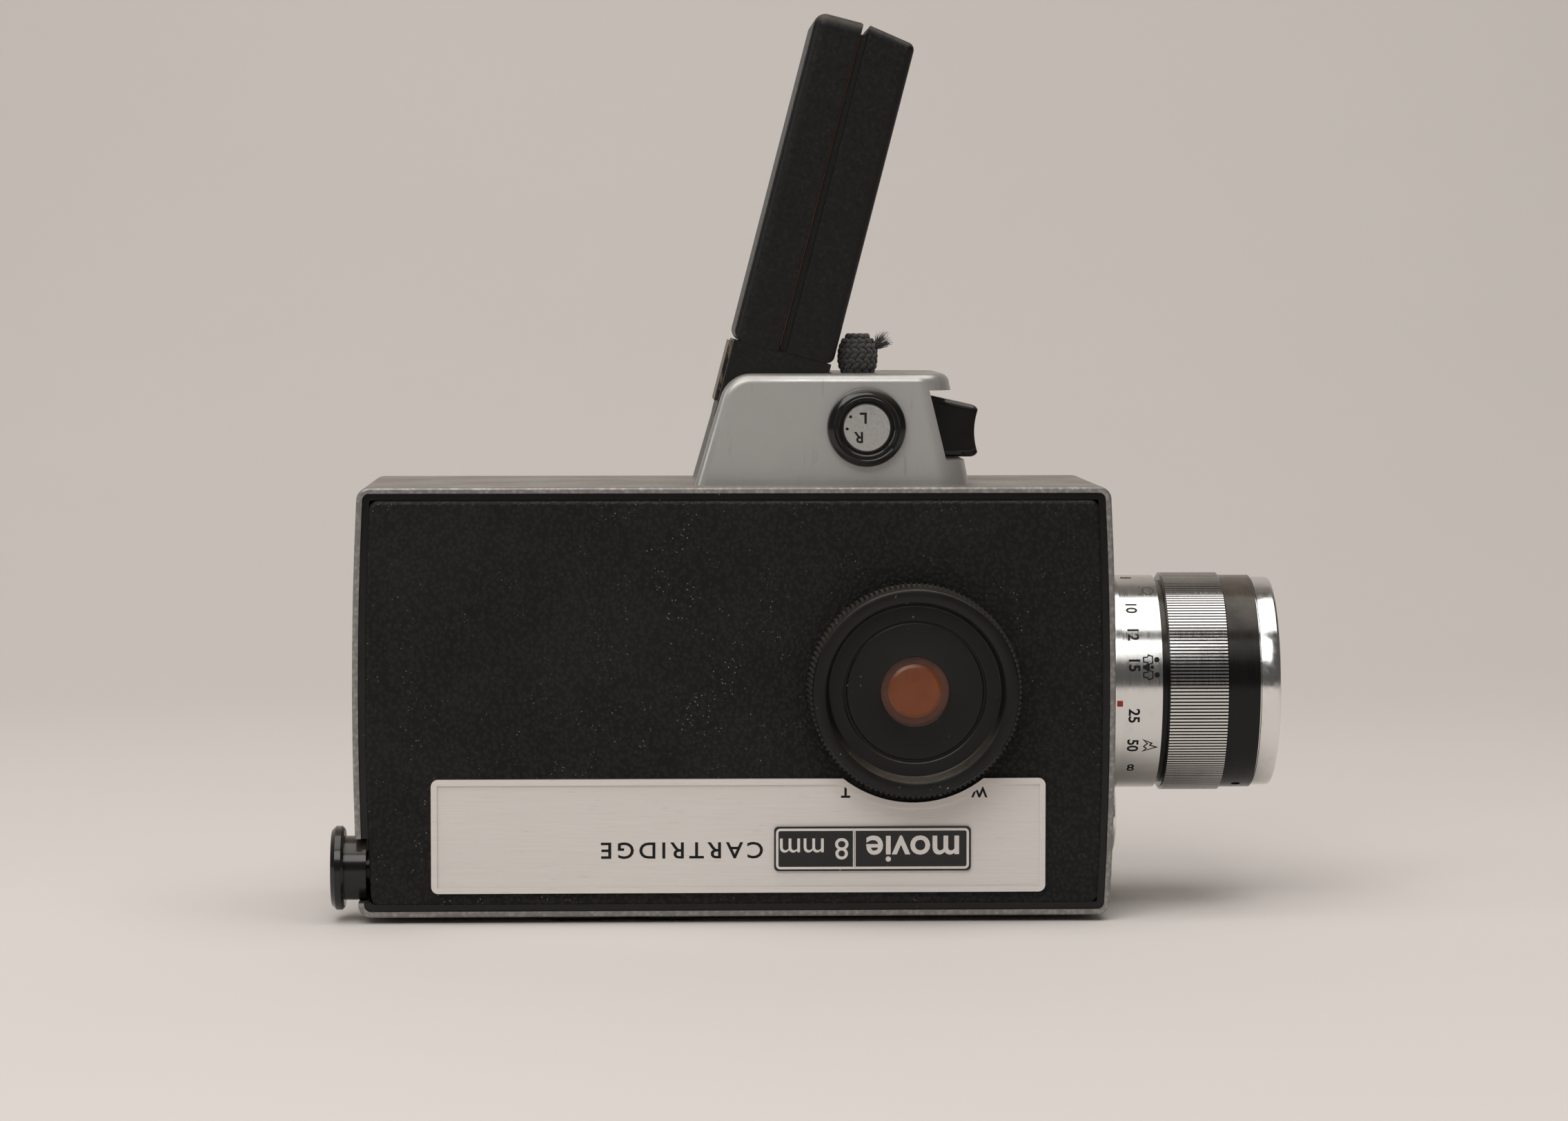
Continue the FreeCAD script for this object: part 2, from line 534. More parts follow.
def make_zoom():
    foot = "dial_gap"
    rim = "(dial_gap + dial_depth)"
    dish = f"({rim} - dial_dish_depth)"
    well = f"({dish} - dial_well_depth)"
    shaft = "zoom_shaft_radius"
    outline = [(foot, shaft), (foot, "dial_radius + dial_flare"), (f"{rim} - 1", "dial_radius"),
               (rim, "dial_radius - 1"), (rim, "dial_dish + 1.6"), (dish, "dial_dish"),
               (dish, "dial_well"), (well, "dial_well"), (well, shaft)]
    place_dial = ("dial_x", COVER_FACE, DIAL_Z)
    sub_part("zoom_dial", turned("ZoomDial", outline, "-y", *place_dial))

    seat = [(well, shaft), (well, "dial_well"), (f"{well} + 0.7", "dial_well"),
            (f"{well} + 0.7", "dial_cap"), (f"{well} + 0.2", "dial_cap"), (f"{well} + 0.2", shaft)]
    sub_part("zoom_dial_seat", turned("ZoomDialSeat", seat, "-y", *place_dial))
    cap = [(f"{well} + 0.2", "0"), (f"{well} + 0.2", "dial_cap"), (f"{well} + 0.8", "dial_cap"),
           (f"{well} + 1.1", "dial_cap - 0.6"), (f"{well} + 1.1", "0")]
    sub_part("zoom_dial_cap", turned("ZoomDialCap", cap, "-y", *place_dial))

    inner = "(cover_proud + rim_depth + 1)"
    bush = [(f"-{inner}", f"{shaft} + run_gap"), (f"-{inner}", f"{shaft} + 3"),
            ("-(cover_proud + rim_depth)", f"{shaft} + 3"), ("-(cover_proud + rim_depth)", f"{shaft} + 2"),
            ("0.15", f"{shaft} + 2"), ("0.15", f"{shaft} + run_gap")]
    sub_part("zoom_bush", turned("ZoomBush", bush, "-y", *place_dial))

    spindle = [(f"-{inner} - 0.2 - pinion_width", "0"), (f"-{inner} - 0.2 - pinion_width", "pinion_radius"),
               (f"-{inner} - 0.2", "pinion_radius"), (f"-{inner} - 0.2", shaft), (f"{well} + 0.2", shaft),
               (f"{well} + 0.2", "0")]
    sub_part("zoom_shaft", turned("ZoomShaft", spindle, "-y", *place_dial))

    rack_y = f"({COVER_FACE} + {inner} + 0.2)"
    rack_top = f"({DIAL_Z} - pinion_radius - run_gap)"
    ring_x = ("dial_x + 14", "dial_x + 29")
    rack = box("Rack", ("dial_x - 8", ring_x[1]), (rack_y, f"{rack_y} + pinion_width"),
               (f"{rack_top} - 2.5", rack_top))
    arm = box("RackArm", ring_x, (rack_y, "lens_y - 9"), (f"{rack_top} - 2.5", rack_top))
    ring = rod("CarriageRing", "x", "11", *ring_x, ("lens_y", LENS_Z))
    bore = rod("CarriageBore", "x", "9", "dial_x", "dial_x + 40", ("lens_y", LENS_Z))
    sub_part("zoom_carriage", cut("ZoomCarriage", fuse("Carriage", rack, arm, ring), bore))
    glass = [("0", "0"), ("0", "8.6"), ("0.8", "9"), ("2.6", "9"), ("3.4", "8.4"), ("4.0", "6.0"), ("4.2", "0")]
    sub_part("zoom_lens", turned("ZoomLens", glass, "+x", "dial_x + 23", "lens_y", LENS_Z))


# ---- lens --------------------------------------------------------------------------------

def lens_piece(label, name, outline, x):
    return sub_part(label, turned(name, outline, "+x", x, "lens_y", LENS_Z))


def ring_outline(inner, outer, length, start="0"):
    return [(start, inner), (start, outer), (length, outer), (length, inner)]


def make_lens():
    tube = "lens_tube_radius"
    tube_in = "(lens_tube_radius - lens_tube_wall)"
    turn_bore = "lens_tube_radius + run_gap"
    flange = ring_outline(tube, "flange_radius", "flange_length")
    lens_piece("lens_flange", "LensFlange", flange, HALF_LENGTH)
    mark = box("Mark", ("0", "mark_size"), ("0", "mark_size"), ("0", "mark_thick"))
    mark_x = f"{HALF_LENGTH} + flange_length - mark_inset - mark_size"
    # The mark is tangent to the flange, a little below the middle of the operator's side.
    place(mark, mark_x,
          "lens_y - flange_radius * cos(7) + mark_size / 2 * sin(7)",
          f"{LENS_Z} - flange_radius * sin(7) - mark_size / 2 * cos(7)", turn=(X_AXIS, 97))
    sub_part("index_mark", mark)
    tube_end = f"{BARREL_X} - {HALF_LENGTH} + 1"
    lens_piece("lens_tube", "LensTube", ring_outline(tube_in, tube, tube_end, "-6"), HALF_LENGTH)
    rear = [("0", "0"), ("0", "10"), ("1.2", tube_in), ("3.4", tube_in), ("4.2", "10"), ("4.6", "0")]
    lens_piece("rear_lens", "RearLens", rear, f"{HALF_LENGTH} - 2")

    scale = ring_outline(turn_bore, "scale_radius", "scale_length - run_gap")
    lens_piece("focus_scale_ring", "FocusScaleRing", scale, SCALE_X)
    core = ring_outline(turn_bore, "groove_radius", "groove_length + knurl_length")
    lens_piece("focus_core", "FocusCore", core, GROOVE_X)
    knurl = [("0", "groove_radius"), ("0", "knurl_radius - 0.3"), ("0.3", "knurl_radius"),
             ("knurl_length - 0.3", "knurl_radius"), ("knurl_length", "knurl_radius - 0.3"),
             ("knurl_length", "groove_radius")]
    lens_piece("focus_grip_ring", "FocusGripRing", knurl, KNURL_X)

    step = "1.3"
    barrel = [("0", turn_bore), ("0", "barrel_radius"), ("barrel_length", "barrel_radius"),
              ("barrel_length", "filter_radius - 1"), ("barrel_length - 1.2", "front_glass"),
              (step, "front_glass"), (step, turn_bore)]
    body = turned("BarrelTurned", barrel, "+x", BARREL_X, "lens_y", LENS_Z)
    holes, screws = [], []
    for number, angle in enumerate((160, 340)):
        for group, name, low, high in ((holes, "ScrewHole", 16.0, 25.0), (screws, "SetScrew", 17.0, 19.9)):
            item = doc.addObject("Part::Cylinder", f"{name}{number}")
            bind(item, "Radius", "set_screw_radius")
            item.Height = high - low
            turn = (X_AXIS, angle)
            place(item, f"{BARREL_X} + barrel_length / 2", f"lens_y - {low} * sin({angle})",
                  f"{LENS_Z} + {low} * cos({angle})", turn=turn)
            group.append(item)
    # A set screw only reaches where the barrel has metal to hold it.
    sub_part("front_barrel", cut("FrontBarrel", body, *holes))
    sub_part("set_screws", fuse("SetScrews", *screws))
    front = [("0", "filter_radius - 1"), ("0", "front_radius"), ("front_length - 1.2", "front_radius"),
             ("front_length - 0.35", "front_radius - 0.35"), ("front_length", "front_radius - 1.2"),
             ("front_length", "filter_radius"), ("front_length - filter_depth", "filter_radius"),
             ("front_length - filter_depth", "filter_radius - 1")]
    lens_piece("front_ring", "FrontRing", front, FRONT_X)
    bulge = [("0", "0"), ("0", "front_glass"), ("barrel_length - 2.5", "front_glass"),
             ("barrel_length - 1.5", "front_glass * 0.8"), ("barrel_length - 0.9", "front_glass * 0.5"),
             ("barrel_length - 0.7", "0")]
    lens_piece("front_element", "FrontElement", bulge, f"{BARREL_X} + {step}")


# ---- finder and meter --------------------------------------------------------------------

def make_finder():
    reach = "eye_tube_length + eye_flange_length"
    inner = "(finder_radius - finder_wall)"
    eye_x = f"-{HALF_LENGTH} + {PANEL_INSET} - panel_gap"
    outline = [("-5", f"{inner} - 0.5"), ("-5", f"{inner} - run_gap"), ("0", f"{inner} - run_gap"),
               ("0", "eye_tube"), ("eye_tube_length", "eye_tube"), ("eye_tube_length", "eye_flange - 0.5"),
               ("eye_tube_length + 0.5", "eye_flange"), (f"{reach} - 0.8", "eye_flange"),
               (reach, "eye_flange - 0.8"), (reach, "eye_bore"), (f"{reach} - 3", "eye_bore"),
               (f"{reach} - 3", f"{inner} - 0.5")]
    sub_part("eyepiece", turned("Eyepiece", outline, "-x", eye_x, "eye_y", EYE_Z))
    glass = [(f"{reach} - 3", "0"), (f"{reach} - 3", "eye_bore"), (f"{reach} - 1.8", "eye_bore"),
             (f"{reach} - 1.2", "eye_bore * 0.5"), (f"{reach} - 1", "0")]
    sub_part("eyepiece_lens", turned("EyepieceLens", glass, "-x", eye_x, "eye_y", EYE_Z))
    length = f"body_length - {PANEL_INSET} - 0.4"
    tube = [("0.1", inner), ("0.1", "finder_radius"), (length, "finder_radius"), (length, inner)]
    sub_part("viewfinder_tube", turned("ViewfinderTube", tube, "+x", eye_x, "eye_y", EYE_Z))
    window = rod("Window", "x", inner, f"{HALF_LENGTH} - 2", f"{HALF_LENGTH} - 1.2", ("eye_y", EYE_Z))
    sub_part("viewfinder_window", window)


def make_meter():
    glass = "meter_glass"
    bezel = [("-3", f"{glass} - 0.8"), ("-3", glass), ("0", glass), ("0", "meter_radius"),
             ("meter_proud - 1.2", "meter_radius"), ("meter_proud - 0.35", "meter_radius - 0.35"),
             ("meter_proud", "meter_radius - 1.2"), ("meter_proud", f"{glass} + 0.6"),
             ("meter_proud - 0.8", glass), ("meter_proud - 2", glass), ("meter_proud - 2", f"{glass} - 0.8")]
    at = (HALF_LENGTH, "meter_y", METER_Z)
    sub_part("meter_eye_bezel", turned("MeterEyeBezel", bezel, "+x", *at))
    dome = [("meter_proud - 2", "0"), ("meter_proud - 2", glass), ("meter_proud - 1.4", glass),
            ("meter_proud - 0.9", "meter_glass * 0.6"), ("meter_proud - 0.7", "0")]
    sub_part("meter_eye_glass", turned("MeterEyeGlass", dome, "+x", *at))


# ---- film door ---------------------------------------------------------------------------

def make_door():
    inset = PANEL_INSET
    blank = bowed_block("DoorBlank", "0", (DOOR_FACE, HALF_WIDTH))
    soft = rounded("DoorSoft", blank, "edge_radius", lying_in(Y_AXIS, HALF_WIDTH))
    barrel_z = (f"{TOP} + door_ear_inset + door_ear + door_gap", f"{BASE} - door_ear_inset - door_ear - door_gap")
    behind = box("DoorBehind", (f"-{HALF_LENGTH} - 1", DOOR_AXIS_X), (f"{DOOR_FACE} - 1", f"{HALF_WIDTH} + 1"),
                 (f"{TOP} - 1", f"{BASE} + 1"))
    ear_gaps = []
    for end, low in (("Low", f"{TOP} + door_ear_inset"), ("High", f"{BASE} - door_ear_inset - door_ear")):
        ear_x = (f"-{HALF_LENGTH} - 1", f"{DOOR_AXIS_X} + door_knuckle + 0.6")
        ear_gaps.append(box("DoorEarGap" + end, ear_x, (f"{DOOR_FACE} - 1", f"{HALF_WIDTH} + 1"),
                            (f"{low} - door_gap", f"{low} + door_ear + door_gap")))
    slab = cut("DoorSlab", soft, behind, *ear_gaps)
    barrel = rod("DoorBarrel", "z", "door_knuckle", *barrel_z, (DOOR_AXIS_X, DOOR_AXIS_Y))
    joined = fuse("DoorJoined", slab, barrel)
    recess = bowed_block("DoorRecess", "rim_width", (f"{HALF_WIDTH} - trim_recess", f"{HALF_WIDTH} + 1"))
    hinge_side = box("DoorHingeSide", (f"-{HALF_LENGTH}", f"{DOOR_AXIS_X} + 4"),
                     (f"{HALF_WIDTH} - 2", f"{HALF_WIDTH} + 2"), (TOP, BASE))
    panel_recess = cut("DoorPanelRecess", recess, hinge_side)
    window = box("DoorWindowHole", ("-36", "-20"), (DOOR_FACE, f"{HALF_WIDTH} + 1"),
                 (f"{LENS_Z} - 8", f"{LENS_Z} + 8"))
    pin_bore = rod("DoorPinBore", "z", "door_pin + run_gap", f"{TOP}", BASE, (DOOR_AXIS_X, DOOR_AXIS_Y))
    latch_slot = box("DoorLatchSlot", (f"{HALF_LENGTH} - 12", f"{HALF_LENGTH} + 1"),
                     (f"{DOOR_FACE} + 0.5", f"{HALF_WIDTH} - trim_recess - 0.5"),
                     (f"{LENS_Z} - 4.1", f"{LENS_Z} + 4.1"))
    knob_slot = box("DoorKnobSlot", (f"{HALF_LENGTH} - 11.9", f"{HALF_LENGTH} - 3"),
                    (f"{DOOR_FACE} + 0.5", f"{HALF_WIDTH} + 1"), (f"{LENS_Z} - 2.1", f"{LENS_Z} + 2.1"))
    sub_part("film_door", cut("FilmDoor", joined, panel_recess, window, pin_bore, latch_slot, knob_slot))

    cover_y = (f"{HALF_WIDTH} - trim_recess", f"{HALF_WIDTH} + cover_proud")
    blank = bowed_block("DoorCoverBlank", inset, cover_y, "cover_corner")
    domed = rounded("DoorCoverDomed", blank, "cover_edge", lying_in(Y_AXIS, cover_y[1]))
    hinge_side = box("DoorCoverHingeSide", (f"-{HALF_LENGTH}", f"{DOOR_AXIS_X} + 5"),
                     (f"{HALF_WIDTH} - 2", f"{HALF_WIDTH} + 2"), (TOP, BASE))
    latch_side = box("DoorCoverLatchSide", (f"{HALF_LENGTH} - 14", HALF_LENGTH),
                     (f"{HALF_WIDTH} - 2", f"{HALF_WIDTH} + 2"), (f"{LENS_Z} - 8", f"{LENS_Z} + 8"))
    hole = box("DoorCoverWindow", ("-36", "-20"), (DOOR_FACE, f"{HALF_WIDTH} + 2"),
               (f"{LENS_Z} - 8", f"{LENS_Z} + 8"))
    sub_part("door_cover", cut("DoorCover", domed, hinge_side, latch_side, hole))
    pane = box("DoorPane", ("-36 + panel_gap", "-20 - panel_gap"), (f"{DOOR_FACE} + 0.6", f"{HALF_WIDTH} + 0.5"),
               (f"{LENS_Z} - 8 + panel_gap", f"{LENS_Z} + 8 - panel_gap"))
    sub_part("door_window", rounded("DoorWindow", pane, "0.4", lying_in(Y_AXIS, f"{HALF_WIDTH} + 0.5")))
    pin = rod("DoorHingePin", "z", "door_pin", f"{TOP} + door_ear_inset", f"{BASE} - door_ear_inset",
              (DOOR_AXIS_X, DOOR_AXIS_Y))
    sub_part("door_hinge_pin", pin)
    bolt = box("LatchBolt", (f"{HALF_LENGTH} - 7.6", f"{HALF_LENGTH} - rim_width"),
               (f"{DOOR_FACE} + 0.6", f"{HALF_WIDTH} - trim_recess - 0.6"), (f"{LENS_Z} - 4", f"{LENS_Z} + 4"))
    stem = box("LatchStem", (f"{HALF_LENGTH} - 7.4", f"{HALF_LENGTH} - 4"), (f"{DOOR_FACE} + 0.6", HALF_WIDTH),
               (f"{LENS_Z} - 2", f"{LENS_Z} + 2"))
    knob = box("LatchKnob", (f"{HALF_LENGTH} - 8.6", f"{HALF_LENGTH} - 3.2"),
               (f"{HALF_WIDTH} - trim_recess + 0.1", f"{HALF_WIDTH} + 1.4"), (f"{LENS_Z} - 5.5", f"{LENS_Z} + 5.5"))
    sub_part("door_latch", fuse("DoorLatch", bolt, stem, knob))


# ---- film mechanism ----------------------------------------------------------------------

def make_mechanism():
    web = ("web_y - web_thick", "web_y")
    rear = f"{HALF_LENGTH} - shell_wall - 1.5"
    plate = box("WebPlate", (f"-({rear})", "gate_x"), web, (f"{INNER_LOW} + 0.2", f"{INNER_HIGH} - 0.2"))
    saddle = box("MotorSaddle", ("motor_rear + 6", "motor_rear + 22"), ("motor_y", web[0]),
                 (f"{MOTOR_Z} - 9", f"{MOTOR_Z} + 9"))
    can = rod("MotorCanSpace", "x", "motor_radius", "motor_rear", "motor_rear + motor_length",
              ("motor_y", MOTOR_Z))
    spindle_hole = rod("SpindleHole", "y", "spindle_radius + run_gap", "web_y - 6", "web_y + 1",
                       ("spindle_x", LENS_Z))
    stop = box("ChamberStop", (f"gate_x - chamber_length - 1.5", "gate_x - chamber_length"),
               ("web_y", f"{DOOR_FACE} - 2"), (f"{INNER_LOW} + 0.2", f"{INNER_HIGH} - 0.2"))
    joined = fuse("WebJoined", plate, saddle, stop)
    sub_part("mechanism_plate", cut("MechanismPlate", joined, can, spindle_hole))

    gate = box("GatePlate", ("gate_x", "gate_x + gate_thick"), ("-6", f"{DOOR_FACE} - 2"),
               (f"{INNER_LOW} + 0.2", f"{INNER_HIGH} - 0.2"))
    frame = box("GateFrame", ("gate_x - 1", "gate_x + 4"), ("lens_y - 2.9", "lens_y + 2.9"),
                (f"{LENS_Z} - 2.1", f"{LENS_Z} + 2.1"))
    slot = box("ClawSlot", ("gate_x - 1", "gate_x + 4"), ("lens_y + 3.6", "lens_y + 5"),
               (f"{LENS_Z} - 10", f"{LENS_Z} - 2.6"))
    sub_part("film_gate", cut("FilmGate", gate, frame, slot))
    arm = box("ClawArm", ("gate_x + gate_thick + run_gap", "gate_x + gate_thick + 1.3"), ("lens_y + 3", "lens_y + 5.6"),
              (f"{LENS_Z} - 16", f"{LENS_Z} - 8"))
    tooth = box("ClawTooth", ("gate_x - 0.6", "gate_x + gate_thick + 0.3"), ("lens_y + 3.9", "lens_y + 4.7"),
                (f"{LENS_Z} - 9.2", f"{LENS_Z} - 8.2"))
    sub_part("film_claw", fuse("FilmClaw", arm, tooth))

    pin_x = ("gate_x + gate_thick", "gate_x + gate_thick + 7")
    sub_part("shutter_pin", rod("ShutterPin", "x", "shutter_pin_radius", *pin_x, ("shutter_y", SHUTTER_Z)))
    wheel = "(sqrt((motor_y - shutter_y)^2 + (motor_height - shutter_height)^2) - roller_radius - run_gap)"
    bore = "shutter_pin_radius + run_gap"
    blade = turned("ShutterBlade", [("0.6", bore), ("0.6", wheel), ("2.8", wheel), ("2.8", "shutter_radius"),
                                    ("3.2", "shutter_radius"), ("3.2", bore)],
                   "+x", pin_x[0], "shutter_y", SHUTTER_Z)
    sector = box("ShutterGap", (f"{pin_x[0]} + 2.8", f"{pin_x[0]} + 5"), ("shutter_y", "shutter_y + 30"),
                 (f"{SHUTTER_Z} + 2", f"{SHUTTER_Z} + 30"))
    sub_part("shutter_disc", cut("ShutterDisc", blade, sector))

    can = [("0", "0"), ("0", "motor_radius"), ("motor_length", "motor_radius"),
           ("motor_length", "1.2 + run_gap"), ("motor_length - 6", "1.2 + run_gap"), ("motor_length - 6", "0")]
    sub_part("motor", turned("Motor", can, "+x", "motor_rear", "motor_y", MOTOR_Z))
    roller_x = "(gate_x + gate_thick + 0.6 - motor_rear)"
    shaft = [("motor_length - 5.8", "0"), ("motor_length - 5.8", "1.2"), (roller_x, "1.2"),
             (roller_x, "roller_radius"), (f"{roller_x} + 2", "roller_radius"), (f"{roller_x} + 2", "0")]
    sub_part("motor_shaft", turned("MotorShaft", shaft, "+x", "motor_rear", "motor_y", MOTOR_Z))

    spindle = [("-4.6", "0"), ("-4.6", "spindle_wheel"), ("-2.2", "spindle_wheel"), ("-2.2", "spindle_radius"),
               ("6", "spindle_radius"), ("7", "spindle_radius - 0.8"), ("7", "0")]
    sub_part("takeup_spindle", turned("TakeupSpindle", spindle, "+y", "spindle_x", "web_y", LENS_Z))
    leaf_x = "(gate_x - chamber_length)"
    leaf = box("SpringLeaf", (leaf_x, f"{leaf_x} + 0.4"), ("lens_y - 4", "lens_y + 4"),
               (f"{LENS_Z} - 22", f"{LENS_Z} + 22"))
    sub_part("cartridge_spring", leaf)


# ---- grip housing ------------------------------------------------------------------------

def make_housing():
    top = "housing_height"
    outline = [("housing_rear", "0"), ("housing_rear + housing_rear_lean", top),
               ("housing_front - housing_front_lean", top), ("housing_front", "0")]
    block = profile_plate("HousingBlock", outline, "housing_width")
    place(block, "0", "0", BASE)
    foot = lying_in(Z_AXIS, BASE)
    roof = lying_in(Z_AXIS, HOUSING_TOP)
    sides = [lying_in(Y_AXIS, "housing_width / 2"), lying_in(Y_AXIS, "-housing_width / 2")]
    front_start = value("housing_front - housing_front_lean - housing_round - 1 - rib_front")
    rear_top = value("housing_rear + housing_rear_lean - rib_front")

    def on_side(edge):
        return (sides[0](edge) or sides[1](edge)) and not foot(edge)

    def front_corner(edge):
        return on_side(edge) and not roof(edge) and edge.CenterOfMass.x > front_start

    def rear_corner(edge):
        return roof(edge) and abs(edge.CenterOfMass.x - rear_top) < 1e-4
    round_front = rounded("HousingFront", block, "housing_round", front_corner)
    round_rear = rounded("HousingRear", round_front, "housing_corner", rear_corner)
    soft = rounded("HousingSoft", round_rear, "housing_edge",
                   lambda edge: (on_side(edge) and not front_corner(edge))
                   or (roof(edge) and edge.CenterOfMass.x > front_start))
    between = (f"-{CHEEK_IN}", CHEEK_IN)
    plate_under = f"{HOUSING_TOP} - end_plate_thick"
    bay_x = (f"{BAY_X} + bay_wall", "bay_front")
    slot_line = [("slot_rear_low", "slot_low"), ("housing_front + 9", "slot_low"),
                 ("housing_front + 9", "slot_high"), ("slot_rear_high", "slot_high")]
    slot = profile_plate("TriggerSlot", slot_line, "housing_width + 2")
    place(slot, "0", "0", BASE)
    hole_y = ("-trigger_width / 2 - trigger_gap", "trigger_width / 2 + trigger_gap")
    tools = [
        slot,
        box("GripBay", ("housing_rear - 2", BAY_X), between, (BASE, f"{HOUSING_TOP} + 1")),
        box("TriggerBay", bay_x, between, (BASE, f"{plate_under} + 0.01")),
        box("PlateSeat", (BAY_X, "end_plate_front"), between, (plate_under, f"{HOUSING_TOP} + 1")),
        box("TriggerHole", ("bay_front - 1", "housing_front"), hole_y,
            (f"{BASE} + trigger_low - trigger_gap", f"{BASE} + slot_high")),
        rod("PivotHole", "y", "pivot_pin", "pin_skin - housing_width / 2", "housing_width / 2 - pin_skin",
            ("pivot_x", PIVOT_Z)),
        rod("LockHole", "y", "lock_stem", "-housing_width", "0", ("lock_x", LOCK_Z)),
    ]
    sub_part("grip_housing", cut("GripHousing", soft, *tools))


def make_end_plate():
    under = f"{HOUSING_TOP} - end_plate_thick"
    gap = "panel_gap"
    plate = box("EndPlate", (f"{BAY_X} + {gap}", f"end_plate_front - {gap}"),
                (f"{gap} - {CHEEK_IN}", f"{CHEEK_IN} - {gap}"), (under, HOUSING_TOP))
    tools = [
        rod("CordHole", "z", "cord_radius + 0.1", f"{under} - 1", f"{HOUSING_TOP} + 1", (CORD_X, "cord_y")),
    ]
    screws = []
    for side, y in (("Left", "-plate_screw_y"), ("Right", "plate_screw_y")):
        at = ("plate_screw_x", y, HOUSING_TOP)
        head = [("-1.3", "0"), ("-1.3", "plate_screw_radius * 0.5"), ("-0.2", "plate_screw_radius"),
                ("0", "plate_screw_radius"), ("0", "0")]
        screws.append(turned("PlateScrew" + side, head, "+z", *at))
        hole = [("-1.3", "0"), ("-1.3", "plate_screw_radius * 0.5"), ("-0.2", "plate_screw_radius"),
                ("1", "plate_screw_radius"), ("1", "0")]
        tools.append(turned("PlateScrewHole" + side, hole, "+z", *at))
    sub_part("housing_end_plate", cut("HousingEndPlate", plate, *tools))
    sub_part("end_plate_screws", fuse("EndPlateScrews", *screws))


def make_trigger():
    outline = [("trigger_rear", "trigger_low"), ("trigger_front", "trigger_low"),
               ("trigger_front", "trigger_high"), ("trigger_rear", "trigger_high + trigger_slope")]
    blade = profile_plate("TriggerBlade", outline, "trigger_width")
    place(blade, "0", "0", BASE)
    sides = [lying_in(Y_AXIS, "trigger_width / 2"), lying_in(Y_AXIS, "-trigger_width / 2")]
    in_front = lying_in(X_AXIS, "trigger_front - rib_front")
    nose = rounded("TriggerNose", blade, "trigger_nose",
                   lambda edge: straight_along(Y_AXIS)(edge) and in_front(edge))
    soft = rounded("TriggerSoft", nose, "trigger_edge", lambda edge: sides[0](edge) or sides[1](edge))
    hollow = rod("FingerHollow", "y", "trigger_hollow", "-trigger_width", "trigger_width",
                 ("trigger_front + trigger_hollow - trigger_bite", f"{BASE} + (trigger_low + trigger_high) / 2"))
    sub_part("trigger", cut("Trigger", soft, hollow))
    switch_x = f"{BAY_X} + bay_wall"
    switch = box("Switch", (switch_x, "trigger_rear - trigger_travel - 0.5"), ("-5", "5"),
                 (f"{BASE} + trigger_low + 0.6", f"{BASE} + trigger_low + 7"))
    sub_part("release_switch", switch)


def make_lock():
    cheek = "-housing_width / 2"
    at = ("lock_x", cheek, LOCK_Z)
    ring = [("0.1", "lock_stem + run_gap"), ("0.1", "lock_radius"), ("lock_proud - 0.6", "lock_radius"),
            ("lock_proud", "lock_radius - 0.6"), ("lock_proud", "lock_inner + 0.3"),
            ("lock_proud - 0.3", "lock_inner"), ("0.7", "lock_inner"), ("0.7", "lock_stem + run_gap")]
    sub_part("lock_ring", turned("LockRing", ring, "-y", *at))
    disc = [("-cheek_wall", "0"), ("-cheek_wall", "lock_stem"), ("0.8", "lock_stem"),
            ("0.8", "lock_disc_radius"), ("lock_proud - 0.5", "lock_disc_radius"),
            ("lock_proud - 0.3", "lock_disc_radius - 0.2"), ("lock_proud - 0.3", "0")]
    sub_part("lock_disc", turned("LockDisc", disc, "-y", *at))


def make_cord():
    stub_low = f"{HOUSING_TOP} - end_plate_thick - 1"
    stub = rod("CordStub", "z", "cord_radius", stub_low, f"{HOUSING_TOP} + 1", (CORD_X, "cord_y"))
    knot = rod("KnotBlank", "z", "knot_radius", HOUSING_TOP, f"{HOUSING_TOP} + knot_height", (CORD_X, "cord_y"))
    soft = rounded("KnotSoft", knot, "knot_radius * 0.6", lying_in(Z_AXIS, f"{HOUSING_TOP} + knot_height"))
    sub_part("wrist_cord_knot", fuse("WristCordKnot", stub, soft))


# ---- grip, modelled upright about its pivot: z along the grip, x from rear to front -------

def lean(item):
    """Stand a grip piece, modelled upright about the pivot, on the pivot at the grip's lean."""
    item.Placement = FreeCAD.Placement(FreeCAD.Vector(), FreeCAD.Rotation(Y_AXIS, 1))
    bind(item, "Placement.Base.x", "pivot_x - rib_front")
    bind(item, "Placement.Base.z", PIVOT_Z)
    bind(item, "Placement.Rotation.Angle", "grip_lean")
    return item


def grip_box(name, x, y, z):
    return box(name, x, y, z, own_frame=True)


def make_root():
    half = "root_depth / 2"
    y = (f"root_clear - {CHEEK_IN}", f"{CHEEK_IN} - root_clear")
    knuckle = rod("RootKnuckle", "y", half, *y, ("0", "0"), own_frame=True)
    block = grip_box("RootBlock", (f"-({half})", half), y, ("0", "grip_start"))
    shaped = fuse("RootShaped", knuckle, block)
    bore = rod("RootBore", "y", "pivot_pin + run_gap", "-grip_width", "grip_width", ("0", "0"), own_frame=True)
    sub_part("grip_root", lean(cut("GripRoot", shaped, bore)))
    plate = grip_box("RearPlate", (f"-({half}) - rear_plate_thick", f"-({half})"),
                     ("-rear_plate_width / 2", "rear_plate_width / 2"), ("rear_plate_low", "grip_start - rear_plate_gap"))
    soft = rounded("RearPlateSoft", plate, "rear_plate_corner", straight_along(X_AXIS))
    sub_part("grip_rear_plate", lean(soft))
    pin = rod("GripHingePin", "y", "pivot_pin", "pin_skin - housing_width / 2", "housing_width / 2 - pin_skin",
              ("pivot_x", PIVOT_Z))
    sub_part("grip_hinge_pin", pin)


